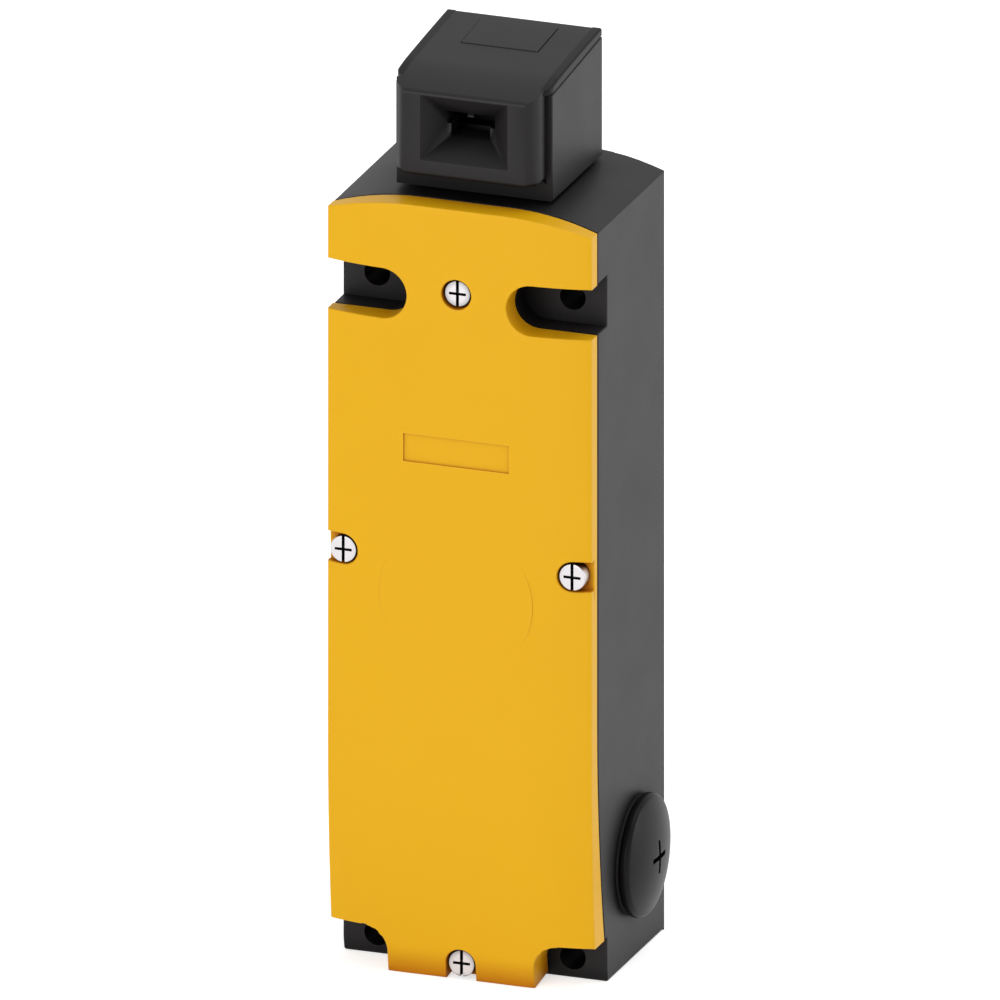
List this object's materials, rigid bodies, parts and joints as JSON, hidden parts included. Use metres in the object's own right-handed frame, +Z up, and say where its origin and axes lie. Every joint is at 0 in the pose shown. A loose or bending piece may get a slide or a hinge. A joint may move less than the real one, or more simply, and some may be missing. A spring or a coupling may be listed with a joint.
{
  "type": "tongue interlock switch",
  "caption": "Guard-door position switch with separate tongue slot, turnable head, yellow cover and solenoid locking in a tall black plastic housing.",
  "frame": {"origin": "middle of the switch's outline on the plane of the housing's underside", "axes": "+X to the right as seen from the cover, +Y from the cover to the mounting face, +Z up to the head"},
  "size_m": [0.0636, 0.0434, 0.1845],
  "materials": {
    "black_plastic": "satin glass-filled moulding",
    "yellow_plastic": "satin moulding",
    "zinc_steel": "bright zinc plate",
    "seal_rubber": "matt black rubber",
    "steel_part": "punched steel",
    "spring_steel": "drawn wire",
    "brass_part": "punched brass",
    "grey_plastic": "satin moulding",
    "white_plastic": "satin moulding",
    "coil_wire": "enamelled copper winding"
  },
  "bodies": {
    "base": {"base_housing": "black_plastic", "cover_gasket": "seal_rubber", "front_cover": "yellow_plastic", "cover_screws": "zinc_steel", "blanking_plug_left": "black_plastic", "blanking_plug_right": "black_plastic", "plug_seal_left": "seal_rubber", "plug_seal_right": "seal_rubber", "mechanism_frame": "grey_plastic", "contact_block": "grey_plastic", "fixed_contacts": "brass_part", "terminal_screws": "zinc_steel", "mechanism_screws": "zinc_steel", "earth_clamp": "steel_part", "earth_screw": "zinc_steel", "solenoid_frame": "steel_part", "solenoid_bobbin": "white_plastic", "solenoid_winding": "coil_wire", "solenoid_blades": "brass_part", "solenoid_core": "steel_part", "lock_switch_case": "grey_plastic", "lock_switch_blades": "brass_part", "plunger_spring": "spring_steel", "lock_spring": "spring_steel"},
    "head": {"head_housing": "black_plastic", "top_slot_cover": "black_plastic", "head_collar": "black_plastic", "head_seal_ring": "seal_rubber", "head_retainer": "zinc_steel", "cam_axle": "zinc_steel"},
    "cam": {"cam_wheel": "steel_part"},
    "plunger": {"plunger": "steel_part", "contact_carrier": "white_plastic", "contact_bridges": "brass_part", "contact_springs": "spring_steel"},
    "lock": {"lock_slide": "steel_part", "solenoid_armature": "steel_part"},
    "switch_button": {"lock_switch_button": "white_plastic"}
  },
  "joints": [
    {"name": "head_turn", "type": "hinge", "parent": "base", "child": "head", "pos_m": [0, 0.00255, 0.1586], "axis": [0, 0, 1], "range_deg": [-180, 180]},
    {"name": "cam_turn", "type": "hinge", "parent": "head", "child": "cam", "pos_m": [0, 0.00255, 0.168], "axis": [-1, 0, 0], "range_deg": [0, 75]},
    {"name": "plunger_lift", "type": "slide", "parent": "base", "child": "plunger", "axis": [0, 0, 1], "range_m": [0, 0.0035], "deforming": ["plunger_spring"]},
    {"name": "lock_shift", "type": "slide", "parent": "base", "child": "lock", "axis": [1, 0, 0], "range_m": [0, 0.004], "stiffness_N_per_m": 250, "springref_m": -0.002, "deforming": ["lock_spring"]},
    {"name": "button_press", "type": "slide", "parent": "base", "child": "switch_button", "axis": [1, 0, 0], "range_m": [0, 0.004]}
  ],
  "couplings": [
    {"joint": "cam_turn", "follows": "plunger_lift", "rad_per_m": 373.9},
    {"joint": "button_press", "follows": "lock_shift", "ratio": 1}
  ]
}
